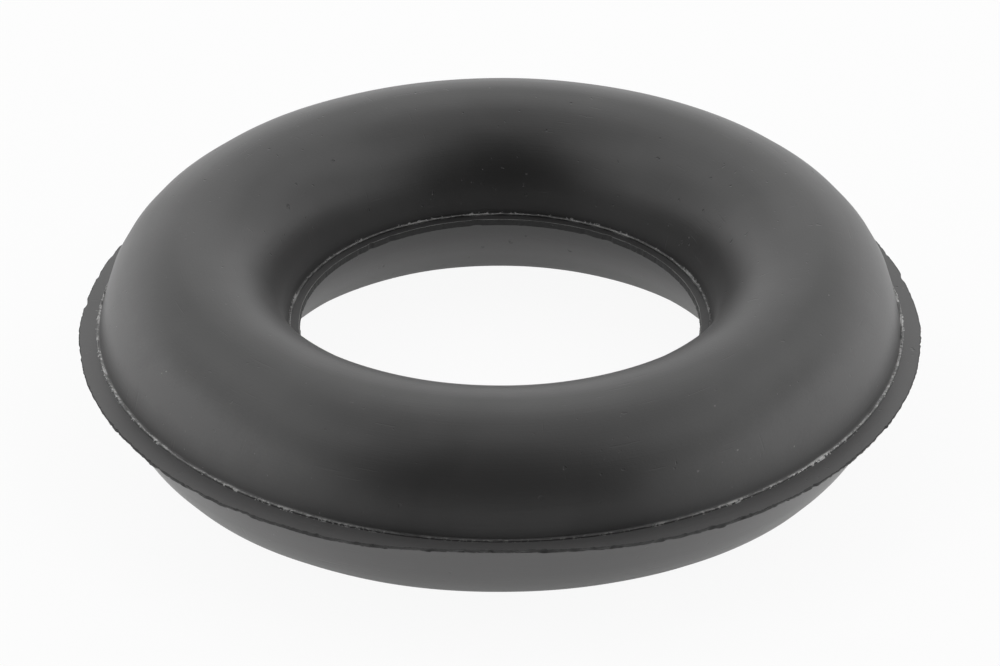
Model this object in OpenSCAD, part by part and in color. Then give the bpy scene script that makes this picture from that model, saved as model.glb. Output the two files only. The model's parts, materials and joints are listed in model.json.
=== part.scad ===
// Exhaust hanger ring: one piece of moulded rubber, lying flat. The hooks or rods of a car body and
// of its silencer pass through the eye. The origin is the centre of the eye, on the parting plane of
// the two mould halves, and +Z is the axis of the ring.

/* [Rubber ring] */
// Clear diameter of the eye, inside the thin flash lip
eye_d = 31.5; // [26:0.5:44]
// Width of the rubber, across one side of the ring
section_w = 14.3; // [10:0.1:15]
// Height of the rubber, crown to crown
section_h = 15.8; // [15.5:0.1:20]

/* [Parting line] */
// Thickness of the flash that the mould leaves on the parting plane
flash_t = 0.5; // [0.3:0.05:1]
// Step down from the edge of the rubber to the face of the flash
step_h = 0.2; // [0.1:0.05:0.5]
// Radius of the cove that flares the outer wall out to the parting plane
outer_cove_r = 0.45; // [0.2:0.05:1]
// Radius of the cove that flares the wall of the eye in to the parting plane
eye_cove_r = 0.4; // [0.2:0.05:1]
// Width of the flash lip left inside the eye
lip_w = 0.8; // [0.3:0.05:1.5]
// Mean width of the flash collar left round the outside
collar_w = 1.45; // [1.2:0.05:3]

/* [Hidden] */

rubber_colour = [0.2, 0.2, 0.205];
$fn = 180;

crown_r = section_w / 2;                       // both crowns are full half rounds
flank_h = section_h - section_w;               // straight wall between the two crowns
ledge_z = flash_t / 2 + step_h;                // edge that the coves run out to
eye_wall_r = eye_d / 2 + lip_w + eye_cove_reach();
mid_r = eye_wall_r + crown_r;                  // radius of the ring through the middle of the rubber
ledge_r = mid_r + crown_r + outer_cove_reach();

// The spare flash was torn off by hand, so the collar's rim wanders in slow waves, which all have a
// crest or a trough at the front, -Y: [number of waves round the ring, height]
rim_waves = [[3, -0.2], [4, -0.3], [6, -0.2]];
rim_step = 2;                                  // degrees between two points of the rim

// A cove touches the wall of the rubber and lies level at the ledge. Where the straight wall is lower
// than the cove, it touches the round of the crown instead.
function cove_rise(cove_r) = max(0, ledge_z + cove_r - flank_h / 2);
function cove_reach(cove_r) = sqrt(pow(crown_r + cove_r, 2) - pow(cove_rise(cove_r), 2)) - crown_r;
function outer_cove_reach() = cove_reach(outer_cove_r);
function eye_cove_reach() = cove_reach(eye_cove_r);

// All the waves of the rim at one place, added up from wave n to the last
function rim_wave(turn, n = 0) =
    n == len(rim_waves) ? 0 : rim_waves[n][1] * cos(rim_waves[n][0] * turn) + rim_wave(turn, n + 1);
function rim_r(turn) = ledge_r + collar_w + rim_wave(turn);

// Section of the rubber without its parting line, round the origin
module rounded_bar() {
    for (side = [-1, 1])
        translate([0, side * flank_h / 2]) circle(r = crown_r);
    square([section_w, flank_h], center = true);
}

// Upper quarter of the flare at the parting plane: a web out to the ledge, hollowed by the cove
module flare(cove_r) {
    ledge_x = crown_r + cove_reach(cove_r);
    difference() {
        square([ledge_x, ledge_z + cove_r]);
        translate([ledge_x, ledge_z + cove_r]) circle(r = cove_r);
    }
}

// The whole section, with the outside of the ring at +X
module section() {
    rounded_bar();
    for (top = [0, 1])
        mirror([0, top]) {
            flare(outer_cove_r);
            mirror([1, 0]) flare(eye_cove_r);
        }
    // The flash runs in as a lip, which keeps a true round edge for what passes through the eye
    lip_x = mid_r - eye_d / 2;
    translate([-lip_x, -flash_t / 2]) square([lip_x, flash_t]);
}

// Thin collar of flash with its torn rim, solid in to the middle of the rubber
module collar() {
    translate([0, 0, -flash_t / 2]) linear_extrude(flash_t)
        difference() {
            polygon([for (turn = [0:rim_step:360 - rim_step])
                rim_r(turn) * [sin(turn), -cos(turn)]]);
            circle(r = mid_r);
        }
}

module rubber_ring() {
    color(rubber_colour) {
        rotate_extrude() translate([mid_r, 0]) section();
        collar();
    }
}

rubber_ring();
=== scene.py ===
import json
import math

import bmesh
import bpy
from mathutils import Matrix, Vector, noise


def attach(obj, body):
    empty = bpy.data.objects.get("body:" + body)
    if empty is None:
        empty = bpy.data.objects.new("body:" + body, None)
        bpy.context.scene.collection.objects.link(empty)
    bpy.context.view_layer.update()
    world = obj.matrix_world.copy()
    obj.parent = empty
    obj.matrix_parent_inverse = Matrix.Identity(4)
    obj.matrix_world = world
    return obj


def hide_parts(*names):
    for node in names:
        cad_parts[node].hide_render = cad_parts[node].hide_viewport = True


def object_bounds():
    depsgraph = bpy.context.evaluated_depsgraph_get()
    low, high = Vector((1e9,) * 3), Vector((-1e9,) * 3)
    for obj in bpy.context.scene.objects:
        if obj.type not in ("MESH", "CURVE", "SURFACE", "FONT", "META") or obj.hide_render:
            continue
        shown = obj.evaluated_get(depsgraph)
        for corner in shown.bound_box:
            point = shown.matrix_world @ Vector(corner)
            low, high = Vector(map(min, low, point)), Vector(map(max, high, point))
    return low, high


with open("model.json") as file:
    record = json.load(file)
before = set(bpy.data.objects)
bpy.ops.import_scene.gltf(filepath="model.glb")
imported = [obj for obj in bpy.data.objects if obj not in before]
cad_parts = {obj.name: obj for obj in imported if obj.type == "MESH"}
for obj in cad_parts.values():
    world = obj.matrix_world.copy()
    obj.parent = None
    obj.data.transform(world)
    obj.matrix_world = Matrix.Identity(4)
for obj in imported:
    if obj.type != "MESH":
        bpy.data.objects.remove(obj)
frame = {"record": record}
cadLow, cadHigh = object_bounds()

mm = 0.001
tiny = 0.005 * mm


class Wire:
    # A socket that can stand in a sum, so that shader maths is written as it reads
    def __init__(self, recipe, socket):
        self.recipe = recipe
        self.socket = socket

    def __add__(self, other):
        return self.recipe.maths("ADD", self, other)

    def __radd__(self, other):
        return self.recipe.maths("ADD", other, self)

    def __sub__(self, other):
        return self.recipe.maths("SUBTRACT", self, other)

    def __rsub__(self, other):
        return self.recipe.maths("SUBTRACT", other, self)

    def __mul__(self, other):
        return self.recipe.maths("MULTIPLY", self, other)

    def __rmul__(self, other):
        return self.recipe.maths("MULTIPLY", other, self)

    def __truediv__(self, other):
        return self.recipe.maths("DIVIDE", self, other)

    def __pow__(self, other):
        return self.recipe.maths("POWER", self, other)


class Recipe:
    # The node tree of one material or world
    def __init__(self, owner):
        self.owner = owner
        self.owner.use_nodes = True
        self.tree = self.owner.node_tree
        self.tree.nodes.clear()

    def node(self, kind, settings=None, sockets=None, out=(0,)):
        made = self.tree.nodes.new("ShaderNode" + kind)
        for name, value in (settings or {}).items():
            setattr(made, name, value)
        for name, value in (sockets or {}).items():
            if isinstance(value, Wire):
                self.tree.links.new(value.socket, made.inputs[name])
            else:
                made.inputs[name].default_value = value
        wires = [Wire(self, made.outputs[name]) for name in out]
        return wires[0] if len(wires) == 1 else wires

    def maths(self, operation, first, second=0.0):
        return self.node("Math", {"operation": operation}, {0: first, 1: second})

    def most(self, first, *others):
        for other in others:
            first = self.maths("MAXIMUM", first, other)
        return first

    def between(self, value, low, high):
        # 0 under low, 1 over high and smooth between them, or the other way round
        settings = {"interpolation_type": "SMOOTHSTEP"}
        return self.node("MapRange", settings, {"Value": value, "From Min": low, "From Max": high})

    def vector(self, x, y, z):
        return self.node("CombineXYZ", sockets={0: x, 1: y, 2: z})

    def noise(self, place, size, detail=2.0):
        # Lumps of about this size, near 0.5 in the middle
        return self.node("TexNoise", sockets={"Vector": place, "Scale": 1 / size, "Detail": detail})

    def flecks(self, place, size, rarity, detail=0.0):
        # The tops of the noise alone: few small spots, fewer as rarity goes up to 0.4
        return self.between(self.noise(place, size, detail), 0.5 + rarity, 0.56 + rarity)

    def line(self, value, middle, width):
        # 1 where the value is at the middle, down to 0 at half a width to either side
        away = self.maths("ABSOLUTE", value - middle)
        return self.between(away, width / 2, 0.0)

    def mixColours(self, factor, first, second):
        return self.node("Mix", {"data_type": "RGBA"}, {0: factor, 6: first, 7: second}, out=(2,))

    def finish(self, shader, output="OutputMaterial"):
        self.node(output, sockets={"Surface": shader}, out=())
        return self.owner


ringSizes = {
    "crownRadius": 7.15 * mm,
    "wallFlare": 0.26 * mm,      # draft of both walls, out to the foot of the wall
    "eyeCove": 0.07 * mm,
    "outerCove": 0.12 * mm,
    "burrWidth": 0.14 * mm,      # fine raised edge where the mould halves met
    "burrHeight": 0.035 * mm,
    "stepHeight": 0.1 * mm,
    "flashThickness": 0.5 * mm,
    "lipWidth": 0.87 * mm,
    "collarWidth": 1.52 * mm,    # as turned, before the rim is torn to the widths below
    # Degrees from the front, and how wide the torn flash is there, the same to both sides
    "rimWidths": (
        (0, 1.26 * mm), (24, 2.1 * mm), (45, 2.15 * mm), (60, 1.96 * mm), (71, 1.8 * mm),
        (84, 1.56 * mm), (100, 1.24 * mm), (110, 1.19 * mm), (120, 1.27 * mm), (135, 1.68 * mm),
        (150, 1.87 * mm), (165, 1.51 * mm), (180, 1.22 * mm)),
    "turnSteps": 1280,
    "crownSteps": 16,
    "coveSteps": 3,
    "collarSteps": 4,
    "lipSteps": 3,
    "collarEdgeSteps": 2,
    "lipEdgeSteps": 1,
}

eyeRadius = frame["record"]["mounts"][0]["dims"]["r_mm"] * mm
crownRadius = ringSizes["crownRadius"]
burrWidth = ringSizes["burrWidth"]
burrHeight = ringSizes["burrHeight"]
flankHalf = (cadHigh.z - cadLow.z) / 2 - crownRadius
flashHalf = ringSizes["flashThickness"] / 2
ledgeZ = flashHalf + ringSizes["stepHeight"]
eyeLedge = eyeRadius + ringSizes["lipWidth"]
middleRadius = eyeLedge + ringSizes["eyeCove"] + ringSizes["wallFlare"] + crownRadius
outerLedge = middleRadius + crownRadius + ringSizes["wallFlare"] + ringSizes["outerCove"]


def pickVerts(piece, wanted):
    bpy.ops.mesh.select_all(action="DESELECT")
    shape = bmesh.from_edit_mesh(piece.data)
    for vert in shape.verts:
        vert.select = wanted(vert.co)
    shape.select_flush_mode()
    bmesh.update_edit_mesh(piece.data)


def extrudeBy(out, up, steps=1):
    move = (out / steps, 0, up / steps)
    for _ in range(steps):
        bpy.ops.mesh.extrude_region_move(TRANSFORM_OT_translate={"value": move})


# Runs the section on from the end of the crown: wall, cove, burr, step and flash, down to half height
def growFlare(piece, side, coveRadius, flashWidth, flashSteps, edgeSteps):
    wallX = middleRadius + side * crownRadius
    coveTop = ledgeZ + coveRadius
    pickVerts(piece, lambda at: abs(at.x - wallX) < tiny)
    bpy.ops.transform.translate(value=(side * ringSizes["wallFlare"], 0, coveTop - flankHalf))
    coveCentre = (wallX + side * (ringSizes["wallFlare"] + coveRadius), 0, coveTop)
    bpy.ops.mesh.spin(
        steps=ringSizes["coveSteps"], angle=side * math.pi / 2, center=coveCentre, axis=(0, 1, 0))
    extrudeBy(side * burrWidth / 2, burrHeight)
    extrudeBy(side * burrWidth / 2, -burrHeight)
    extrudeBy(0, -ringSizes["stepHeight"])
    extrudeBy(side * (flashWidth - burrWidth), 0, flashSteps)
    extrudeBy(0, -flashHalf, edgeSteps)


def makeRing():
    bpy.ops.mesh.primitive_circle_add(
        vertices=2 * ringSizes["crownSteps"], radius=crownRadius,
        location=(middleRadius, 0, flankHalf), rotation=(math.pi / 2, 0, 0))
    ring = bpy.context.object
    ring.name = "rubberRing"
    bpy.ops.object.transform_apply(location=True, rotation=True, scale=True)
    bpy.ops.object.mode_set(mode="EDIT")
    bpy.ops.mesh.select_mode(type="VERT")
    pickVerts(ring, lambda at: at.z < flankHalf - tiny)
    bpy.ops.mesh.delete(type="VERT")
    growFlare(ring, 1, ringSizes["outerCove"], ringSizes["collarWidth"],
              ringSizes["collarSteps"], ringSizes["collarEdgeSteps"])
    growFlare(ring, -1, ringSizes["eyeCove"], ringSizes["lipWidth"],
              ringSizes["lipSteps"], ringSizes["lipEdgeSteps"])
    bpy.ops.object.mode_set(mode="OBJECT")
    turned = ring.modifiers.new("turned", "SCREW")
    turned.steps = turned.render_steps = ringSizes["turnSteps"]
    turned.use_merge_vertices = True
    turned.merge_threshold = tiny
    bpy.ops.object.modifier_apply(modifier=turned.name)
    half = ring.modifiers.new("lowerHalf", "MIRROR")
    half.use_axis = (False, False, True)
    half.merge_threshold = tiny
    bpy.ops.object.modifier_apply(modifier=half.name)
    return ring


wearLook = {
    "skinSink": 0.035 * mm,      # soft unevenness of the moulded skin
    "sinkSize": 8 * mm,
    "evenBand": 1.5 * mm,        # the skin stays even up to here from half height
    "lowerSwell": 0.45 * mm,     # the lower half is a little fuller to both sides of the front
    "swellTurn": math.radians(37),
    "swellSpread": math.radians(20),
    "swellDepths": (1 * mm, 4 * mm),
    "burrWander": 0.06 * mm,
    "burrReach": 0.8,            # how far the wander spreads, in burr widths
    "burrLift": (0.3, 1.6),      # even lift and bumps, in shares of the wander
    "rimNick": 0.18 * mm,        # common small nicks of the torn rim
    "rimNotch": 0.16 * mm,       # few deeper notches
    "rimUndercut": 0.18 * mm,    # the lower corner of the rim tore off further in
    "undercutBumps": 0.8,
    "rimTaper": 0.16 * mm,       # the underside of the flash rises towards the rim
    "lipNick": 0.12 * mm,
    "tornFrom": 0.95,            # the share of the flash's width where the torn edge starts
    "tearLayer": 0.35 * mm,      # height over which the tearing changes
    "fineTear": 0.7,
    "coarseTear": 0.4,
    "notchRarity": 0.3,
    "notchSlope": 3,
    "calmTear": 0.35,            # what is left of the nicks where the rim is calm
    "calmCosines": (-0.1, 0.5),  # of the turn from the front: calm past the first, rough before the second
    "collarSag": 0.07 * mm,
}

# How many bumps go round the ring, and the row of the noise that they come from
roundBumps = {
    "fineTear": (560, 0),
    "coarseTear": (210, 7),
    "notches": (110, 31),
    "burrShift": (260, 3),
    "burrRise": (330, 12),
    "undercut": (170, 70),
    "sag": (26, 50),
}


# Noise that runs round the ring without a seam
def roundNoise(kind, turn, track=0.0):
    bumps, row = roundBumps[kind]
    size = bumps / (2 * math.pi)
    return noise.noise(Vector((size * math.cos(turn), size * math.sin(turn), row + track)))


def ramp(value, low, high):
    return min(max((value - low) / (high - low), 0.0), 1.0)


# Eased from one listed width to the next
def rimWidth(turn):
    degrees = abs(math.degrees(turn))
    widths = ringSizes["rimWidths"]
    for (turnBefore, widthBefore), (turnAfter, widthAfter) in zip(widths, widths[1:]):
        if degrees <= turnAfter:
            part = (degrees - turnBefore) / (turnAfter - turnBefore)
            return widthBefore + (widthAfter - widthBefore) * part * part * (3 - 2 * part)
    return widths[-1][1]


# How deep the edge is torn: common nicks, shallower at the sides and back, and a few notches
def tearDepth(turn, z, nick, notch, track):
    layer = track + z / wearLook["tearLayer"]
    fine = 0.5 + roundNoise("fineTear", turn, layer)
    coarse = 0.5 + roundNoise("coarseTear", turn, layer / 2)
    rough = ramp(math.cos(turn), *wearLook["calmCosines"])
    rough = wearLook["calmTear"] + (1 - wearLook["calmTear"]) * rough
    tears = wearLook["fineTear"] * fine ** 2 + wearLook["coarseTear"] * coarse
    gap = (roundNoise("notches", turn, track) - wearLook["notchRarity"]) * wearLook["notchSlope"]
    return rough * nick * tears + notch * ramp(gap, 0, 1)


# These five give how far a point moves, outwards and upwards
def sinkSkin(at, radius):
    if abs(at.z) <= wearLook["evenBand"]:
        return Vector((0, 0))
    sink = wearLook["skinSink"] * (0.5 + noise.noise(at / wearLook["sinkSize"]))
    return Vector(((radius - middleRadius) / crownRadius, at.z / (flankHalf + crownRadius))) * -sink


def swellLowerHalf(turn, radius, z):
    swell = math.exp(-((abs(turn) - wearLook["swellTurn"]) / wearLook["swellSpread"]) ** 2)
    depth = ramp(-z, *wearLook["swellDepths"])
    outwards = max(0.0, radius - middleRadius) / crownRadius
    return Vector((wearLook["lowerSwell"] * swell * depth * outwards, 0))


def wanderBurr(turn, radius, z):
    if abs(z) > ledgeZ + burrHeight + tiny:
        return Vector((0, 0))
    tops = (outerLedge + burrWidth / 2, eyeLedge - burrWidth / 2)
    away = min(abs(radius - top) for top in tops)
    wander = wearLook["burrWander"] * (1 - ramp(away, 0, wearLook["burrReach"] * burrWidth))
    side = 1 if z > 0 else -1
    lift, bumps = wearLook["burrLift"]
    rise = side * wander * (lift + bumps * roundNoise("burrRise", turn, side))
    if abs(z) <= flashHalf + tiny:
        rise = 0
    return Vector((wander * roundNoise("burrShift", turn, side), rise))


def tearCollar(turn, radius, z, along, edge):
    shift = (rimWidth(turn) - burrWidth) * along - (radius - outerLedge - burrWidth)
    shift -= edge * tearDepth(turn, z, wearLook["rimNick"], wearLook["rimNotch"], 1)
    corner = (flashHalf - z) / (2 * flashHalf)
    corner *= 1 + wearLook["undercutBumps"] * roundNoise("undercut", turn)
    shift -= edge * wearLook["rimUndercut"] * corner
    rise = wearLook["collarSag"] * roundNoise("sag", turn)
    rise += wearLook["rimTaper"] * max(0.0, -z) / flashHalf
    return Vector((shift, rise * along))


def tearLip(turn, z, edge):
    return Vector((edge * tearDepth(turn, z, wearLook["lipNick"], wearLook["lipNick"], 5), 0))


def roughenRing(ring):
    torn = ring.data.attributes.new("torn", "FLOAT", "POINT")
    for vert in ring.data.vertices:
        x, y, z = vert.co
        radius = math.hypot(x, y)
        turn = math.atan2(x, -y)
        move = sinkSkin(vert.co, radius) + swellLowerHalf(turn, radius, z)
        move += wanderBurr(turn, radius, z)
        # How far out on the flash a point lies, from 0 at its root to 1 at its torn edge
        onCollar = (radius - outerLedge - burrWidth) / (ringSizes["collarWidth"] - burrWidth)
        onLip = (eyeLedge - burrWidth - radius) / (ringSizes["lipWidth"] - burrWidth)
        along = max(onCollar, onLip)
        edge = ramp(along, wearLook["tornFrom"], 1)
        if radius > outerLedge + burrWidth + tiny:
            move += tearCollar(turn, radius, z, along, edge)
        elif radius < eyeLedge - burrWidth - tiny:
            move += tearLip(turn, z, edge)
        torn.data[vert.index].value = edge
        scale = (radius + move.x) / radius
        vert.co = (x * scale, y * scale, z + move.y)
    ring.data.update()


rubberLook = {
    # Colours of the skin and of what lies on it
    "black": (0.024, 0.0235, 0.0235, 1),
    "bloom": (0.042, 0.041, 0.041, 1),        # greyer film in soft patches
    "paleFilmAndLight": (0.076, 0.075, 0.075, 1),     # film on the flash and dust on the outer flanks, with a painted highlight in the flanks' band and painted floor light on the lower half
    # painted light from the floor below, on the lower half and the low inner wall of the eye
    "paintedFloorLight": (0.2, 0.198, 0.198, 1),
    "tornBlack": (0.02, 0.02, 0.02, 1),
    # grey of rubbed places, also used for the painted highlights along the parting line and the lip
    "scuffAndHighlightGrey": (0.7, 0.7, 0.69, 1),
    # Shine, and what the layers add to the roughness
    "roughness": 0.44,
    "tornRoughness": 0.35,
    "rubbedRoughness": 0.2,
    "lowerRoughness": -0.08,
    "ior": 1.65,
    "sheen": 0.1,                             # dusty brightness where the skin turns away
    "sheenRoughness": 0.35,
    # Relief: sizes across and rarity of the spots, then heights in millimetres
    "grainSize": 0.2 * mm,
    "markLength": 7 * mm,                     # faint rings that the lathe left in the mould
    "markWidth": 0.17 * mm,
    "pitSize": 0.55 * mm,
    "pitRarity": 0.24,
    "pittedFrom": (-10 * mm, 5 * mm),         # the pits get deeper from the front to the back
    "scratchLength": 3 * mm,
    "scratchWidth": 0.3 * mm,
    "roundScratchRarity": 0.29,
    "crossScratchRarity": 0.32,
    "grainHeight": 0.005,
    "markHeight": 0.005,
    "pitDepth": 0.015,
    "backPitDepth": 0.035,
    "scratchDepth": 0.008,
    "beadHeight": 0.008,
    # Where on the ring
    "turnover": 3 * mm,                       # half the blend from the eye's side to the outside
    "sideways": (0.2, 0.8),                   # from the front to the sides, as a sine
    "sidesEnd": (8 * mm, 2 * mm),             # and no further back than this
    # Parting line: a thin rubbed line, partly a painted highlight that is far stronger at the sides than
    # at the front, and torn beads of rubber along it
    "rubAndHighlightFront": 0.05,                         # outside at the front, and what the sides add
    "rubAndHighlightSides": 0.9,
    "rubEye": 0.4,
    "rubHeights": (0.2 * mm, 0.05 * mm),      # over the ledge, from clean to rubbed
    "clusterSize": 2.4 * mm,
    "outerLine": (0.03 * mm, 0.26 * mm),      # how far out from the ledge, and width
    "eyeLine": (-0.06 * mm, 0.2 * mm),
    "lineWander": 0.15 * mm,
    "lineBase": 0.3,
    "lineDots": 0.85,
    "dotClusters": 0.8,
    "dotEdge": (0.38, 0.62),
    "beadSize": 0.24 * mm,
    "outerBeads": (0.08 * mm, 0.42 * mm),
    "eyeBeads": (0, 0.3 * mm),
    "beadBand": 0.08,
    "beadClusters": 0.7,
    "beadEdge": (0.66, 0.7),
    "beadBandEdge": (0.1, 0.4),
    "beadBase": 0.1,
    "beadStrength": 0.9,
    # Light specks outside, most of them at the sides
    "speckSize": 0.4 * mm,
    "speckRarity": 0.27,
    "speckFront": 0.03,
    "speckSides": 0.2,
    # Torn edges
    "tornEdge": (0.7, 0.88),
    "tornBeads": 0.5,
    "lipEdgeHighlight": (0.7, 0.5),                    # painted highlight along the torn lip's edge: middle and width, as shares of the torn edge
    "lipLineBase": 0.2,
    "lipLineDots": 0.3,
    # Films
    "patchSize": 9 * mm,
    "patchEdge": (0.35, 0.65),
    "patchFilm": 0.6,
    "footHeights": (2 * mm, 1 * mm),          # film at the foot of the walls, at the sides
    "flashStart": (0.1 * mm, 0.2 * mm),
    "flashBase": 0.7,
    "flashPatches": 0.6,
    "paleBandHeight": 3.6 * mm,                   # a wide pale band on the flanks, at the sides: partly dust, partly a painted highlight of the side lamps
    "paleBandWidth": 9 * mm,
    "paleBandBase": 1.1,
    "paleBandClusters": 0.7,
    "paleBandBeads": 0.5,
    # Painted light from the floor below: the lower half outside lighter, more so to the sides of the
    # front, and the low inner wall of the eye lighter towards the bottom
    "lowerHeights": (-0.3 * mm, -1.2 * mm),
    "lowerBase": 0.45,
    "lowerSides": 0.55,
    "eyeFootHeights": (-0.8 * mm, -4.4 * mm),
}


# The layers of the moulded skin, as masks from 0 to 1 that all read the same places on the ring
class RubberSkin(Recipe):
    def __init__(self, look):
        super().__init__(bpy.data.materials.new("mouldedRubber"))
        self.look = look
        self.place = self.node("TexCoord", out=("Object",))
        self.x, self.y, self.z = self.node(
            "SeparateXYZ", sockets={"Vector": self.place}, out=(0, 1, 2))
        self.radius = (self.x * self.x + self.y * self.y) ** 0.5
        self.level = self.maths("ABSOLUTE", self.z)
        turnover = look["turnover"]
        self.outside = self.between(self.radius, middleRadius - turnover, middleRadius + turnover)
        self.sides = self.between(self.maths("ABSOLUTE", self.x / self.radius), *look["sideways"])
        self.sides = self.sides * self.between(self.y, *look["sidesEnd"])
        # the lower half outside: smoother, and painted lighter as if lit from the floor below
        self.lower = self.between(self.z, *look["lowerHeights"]) * self.outside
        self.patches = self.noise(self.place, look["patchSize"], 3)
        self.clusters = self.noise(self.place, look["clusterSize"])
        self.lumps = self.noise(self.place, look["beadSize"])
        dots = self.lumps + (self.clusters - 0.5) * look["dotClusters"]
        self.dotted = self.between(dots, *look["dotEdge"])
        # How strongly the parting line shows, partly rubbing and partly a painted highlight that is
        # strongest at the sides
        atFront = look["rubAndHighlightFront"] - look["rubEye"]
        self.strength = self.outside * (self.sides * look["rubAndHighlightSides"] + atFront) + look["rubEye"]

    # How near a point is to a line or band beside a ledge
    def besideLedge(self, radius, ledge, outAndWidth):
        out, width = outAndWidth
        return self.line(radius, ledge + out, width)

    def rubbedAndHighlitLine(self):
        wandering = self.radius + (self.clusters - 0.5) * self.look["lineWander"]
        lines = self.most(
            self.besideLedge(wandering, outerLedge, self.look["outerLine"]),
            self.besideLedge(wandering, eyeLedge, self.look["eyeLine"]))
        dots = self.dotted * self.look["lineDots"] + self.look["lineBase"]
        return lines * dots * self.strength

    def tornBeads(self):
        band = self.most(
            self.besideLedge(self.radius, outerLedge, self.look["outerBeads"]),
            self.besideLedge(self.radius, eyeLedge, self.look["eyeBeads"]))
        lumps = self.lumps + band * self.look["beadBand"]
        lumps = lumps + (self.clusters - 0.5) * self.look["beadClusters"]
        strength = self.strength * self.look["beadStrength"] + self.look["beadBase"]
        onBand = self.between(band, *self.look["beadBandEdge"])
        return self.between(lumps, *self.look["beadEdge"]) * onBand * strength

    # The parting line and its beads at the height of the ledge, partly rubbed and partly a painted
    # highlight, and light specks over the outside
    def rubbedAndHighlit(self, beads):
        clean, full = self.look["rubHeights"]
        low = self.between(self.level, ledgeZ + clean, ledgeZ + full)
        amount = self.sides * self.look["speckSides"] + self.look["speckFront"]
        specks = self.flecks(self.place, self.look["speckSize"], self.look["speckRarity"], 1)
        return self.most(self.most(beads, self.rubbedAndHighlitLine()) * low, specks * self.outside * amount)

    # The torn edges are darker, with a painted highlight along the edge of the eye's lip where it breaks
    # off
    def tornEdges(self):
        torn = self.node("Attribute", {"attribute_name": "torn"}, out=("Fac",))
        rough = torn + (self.lumps - 0.5) * self.look["tornBeads"]
        dots = self.dotted * self.look["lipLineDots"] + self.look["lipLineBase"]
        lipEdgeHighlight = self.line(torn, *self.look["lipEdgeHighlight"]) * (1 - self.outside) * dots
        return self.between(rough, *self.look["tornEdge"]), lipEdgeHighlight

    def bloom(self):
        patches = self.between(self.patches, *self.look["patchEdge"]) * self.look["patchFilm"]
        return self.most(patches, self.between(self.level, *self.look["footHeights"]) * self.sides)

    # Pale film on the flash; on the outside also painted light from the floor on the lower half, and a
    # band at the sides that is partly dust and partly a painted highlight
    def paleFilmAndLight(self):
        start, full = self.look["flashStart"]
        flash = self.between(self.radius, outerLedge + start, outerLedge + full)
        flash = flash * (self.patches * self.look["flashPatches"] + self.look["flashBase"])
        paleBandWithHighlight = self.line(self.z, self.look["paleBandHeight"], self.look["paleBandWidth"])
        uneven = (self.clusters - 0.5) * self.look["paleBandClusters"]
        uneven = uneven + (self.lumps - 0.5) * self.look["paleBandBeads"] + self.look["paleBandBase"]
        return self.most(flash, self.lower, paleBandWithHighlight * self.outside * self.sides * uneven)

    # Painted light from the floor below, on the lower half outside and the low inner wall of the eye
    def paintedFloorLight(self):
        eyeFoot = self.between(self.z, *self.look["eyeFootHeights"]) * (1 - self.outside)
        return self.lower * (self.sides * self.look["lowerSides"] + self.look["lowerBase"]) + eyeFoot

    # Grain, lathe marks, scratches and pits, on the skin unrolled to two lengths round the ring
    # and one across its section
    def relief(self, beads):
        look = self.look
        roundX = self.x / self.radius * middleRadius
        roundY = self.y / self.radius * middleRadius
        angle = self.maths("ARCTAN2", self.z, self.radius - middleRadius)
        across = self.maths("ABSOLUTE", angle) * crownRadius - self.radius

        def stretched(lengthRound, lengthAcross):
            return self.vector(
                roundX / lengthRound, roundY / lengthRound, across / lengthAcross)

        marks = self.noise(stretched(look["markLength"], look["markWidth"]), 1, 1)
        long, wide = look["scratchLength"], look["scratchWidth"]
        scratches = self.most(
            self.flecks(stretched(long, wide), 1, look["roundScratchRarity"]),
            self.flecks(stretched(wide, long), 1, look["crossScratchRarity"]))
        pits = self.flecks(self.place, look["pitSize"], look["pitRarity"], 1)
        depth = self.between(self.y, *look["pittedFrom"]) * look["backPitDepth"] + look["pitDepth"]
        height = self.noise(self.place, look["grainSize"]) * look["grainHeight"]
        height = height + marks * look["markHeight"] - pits * depth
        return height - scratches * look["scratchDepth"] + beads * look["beadHeight"]


def rubberMaterial():
    look = rubberLook
    rubber = RubberSkin(look)
    beads = rubber.tornBeads()
    rubbedAndHighlit = rubber.rubbedAndHighlit(beads)
    edge, lipEdgeHighlight = rubber.tornEdges()
    colour = rubber.mixColours(rubber.bloom(), look["black"], look["bloom"])
    colour = rubber.mixColours(rubber.paleFilmAndLight(), colour, look["paleFilmAndLight"])
    colour = rubber.mixColours(rubber.paintedFloorLight(), colour, look["paintedFloorLight"])
    colour = rubber.mixColours(rubber.most(rubbedAndHighlit, lipEdgeHighlight), colour, look["scuffAndHighlightGrey"])
    colour = rubber.mixColours(edge, colour, look["tornBlack"])
    roughness = edge * look["tornRoughness"] + rubbedAndHighlit * look["rubbedRoughness"]
    roughness = roughness + rubber.lower * look["lowerRoughness"] + look["roughness"]
    bump = rubber.node("Bump", sockets={
        "Height": rubber.relief(beads), "Strength": 1, "Distance": 1 * mm})
    skin = rubber.node("BsdfPrincipled", sockets={
        "Base Color": colour, "Roughness": roughness, "IOR": look["ior"],
        "Sheen Weight": look["sheen"], "Sheen Roughness": look["sheenRoughness"], "Normal": bump})
    return rubber.finish(skin)


bpy.ops.object.select_all(action="DESELECT")
ring = makeRing()
print("ring turned from its section:", len(ring.data.polygons), "faces")
roughenRing(ring)
bpy.ops.object.mode_set(mode="EDIT")
bpy.ops.mesh.select_all(action="SELECT")
bpy.ops.mesh.normals_make_consistent(inside=False)
bpy.ops.object.mode_set(mode="OBJECT")
bpy.ops.object.shade_smooth_by_angle(angle=math.radians(40))
print("flash torn and burrs wandering")
ring.data.materials.append(rubberMaterial())
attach(ring, "root")
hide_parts("rubber_ring")
print("rubber skin on")


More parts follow.
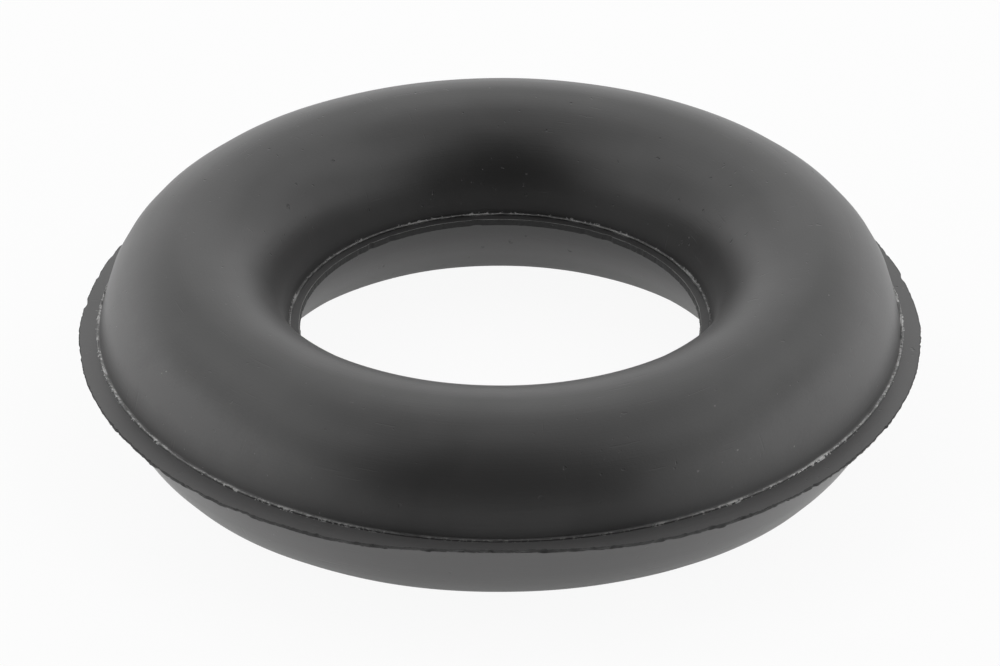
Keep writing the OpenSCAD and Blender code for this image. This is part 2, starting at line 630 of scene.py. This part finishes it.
studio = {
    "floorSize": 3.0,
    "floorColour": (0.86, 0.86, 0.86, 1),
    "airColour": (0.94, 0.94, 0.94, 1),
    "paperGlow": 0.93,           # how white the paper looks to the camera
    "paperEnd": -62 * mm,        # in reflections the paper fades out towards the camera
    "paperFade": -34 * mm,
    "underWidth": 24 * mm,       # and a painted shadow dims it in a band under the ring
    "underShade": 0.75,
    "lampDistance": 0.7,
    "lampTurns": (72, 126, 180, 234, 288),   # an open horseshoe, with its gap towards the camera
    # Name: angle above the floor, width, height, and the watts of each lamp
    "lampRows": {
        "lowLamp": (14, 0.68, 0.36, 1.0),
        "highLamp": (50, 0.42, 0.36, 0.74),
    },
    "topLamp": (90, 0.36, 0.36, 0.36),
}


def makeFloor():
    bpy.ops.mesh.primitive_plane_add(size=studio["floorSize"], location=(0, 0, cadLow.z))
    floor = bpy.context.object
    floor.name = "paleFloor"
    paint = Recipe(bpy.data.materials.new("palePaper"))
    camera, glossy, through = paint.node(
        "LightPath", out=("Is Camera Ray", "Is Glossy Ray", "Is Transmission Ray"))
    place = paint.node("TexCoord", out=("Object",))
    sideways, forward = paint.node("SeparateXYZ", sockets={"Vector": place}, out=(0, 1))
    distance = (sideways * sideways + forward * forward) ** 0.5
    # painted shadow under the ring, seen only in reflections of the paper
    paintedShadowUnder = paint.line(distance, middleRadius, studio["underWidth"]) * studio["underShade"]
    nearby = paint.between(forward, studio["paperEnd"], studio["paperFade"]) * (1 - paintedShadowUnder)
    seen = paint.most(paint.most(camera, through) * studio["paperGlow"], glossy * nearby)
    paper = paint.node("BsdfDiffuse", sockets={"Color": studio["floorColour"]})
    white = paint.node("Emission", sockets={"Color": (1, 1, 1, 1), "Strength": 1})
    mixed = paint.node("MixShader", sockets={0: seen, 1: paper, 2: white})
    floor.data.materials.append(paint.finish(mixed))


# White to the camera past the edge of the paper, and dark to the ring
def makeAir():
    air = Recipe(bpy.data.worlds.new("studioAir"))
    camera, through = air.node("LightPath", out=("Is Camera Ray", "Is Transmission Ray"))
    white = air.node("Background", sockets={
        "Color": studio["airColour"], "Strength": air.most(camera, through)})
    bpy.context.scene.world = air.finish(white, "OutputWorld")


def makeLamp(name, turn, angle, width, height, watts):
    turn, angle = math.radians(turn), math.radians(angle)
    toLamp = Vector((
        math.sin(turn) * math.cos(angle), -math.cos(turn) * math.cos(angle), math.sin(angle)))
    bpy.ops.object.light_add(type="AREA", location=toLamp * studio["lampDistance"])
    lamp = bpy.context.object
    lamp.name = name
    lamp.rotation_euler = toLamp.to_track_quat("Z", "Y").to_euler()
    lamp.data.shape = "RECTANGLE"
    lamp.data.size = width
    lamp.data.size_y = height
    lamp.data.energy = watts


cameraPlace = {
    "distance": 429.2 * mm,
    "elevation": 31.27,
    "lens": 195.6,
    "sensor": 36,
    "nearest": 10 * mm,
    "aimUnder": 0.95 * mm,       # the camera looks a little under the middle of the ring
}


def makeCamera():
    height = math.radians(cameraPlace["elevation"])
    back = Vector((0, -math.cos(height), math.sin(height)))
    aim = Vector((0, 0, -cameraPlace["aimUnder"]))
    bpy.ops.object.camera_add(location=aim + back * cameraPlace["distance"])
    camera = bpy.context.object
    camera.rotation_euler = back.to_track_quat("Z", "Y").to_euler()
    camera.data.lens = cameraPlace["lens"]
    camera.data.sensor_width = cameraPlace["sensor"]
    camera.data.clip_start = cameraPlace["nearest"]
    bpy.context.scene.camera = camera


makeFloor()
for rowName, rowPlace in studio["lampRows"].items():
    for lampTurn in studio["lampTurns"]:
        makeLamp(f"{rowName}{lampTurn}", lampTurn, *rowPlace)
makeLamp("topLamp", 0, *studio["topLamp"])
makeAir()
makeCamera()
bpy.context.scene.view_settings.view_transform = "Standard"
print("floor, lamps and camera placed")
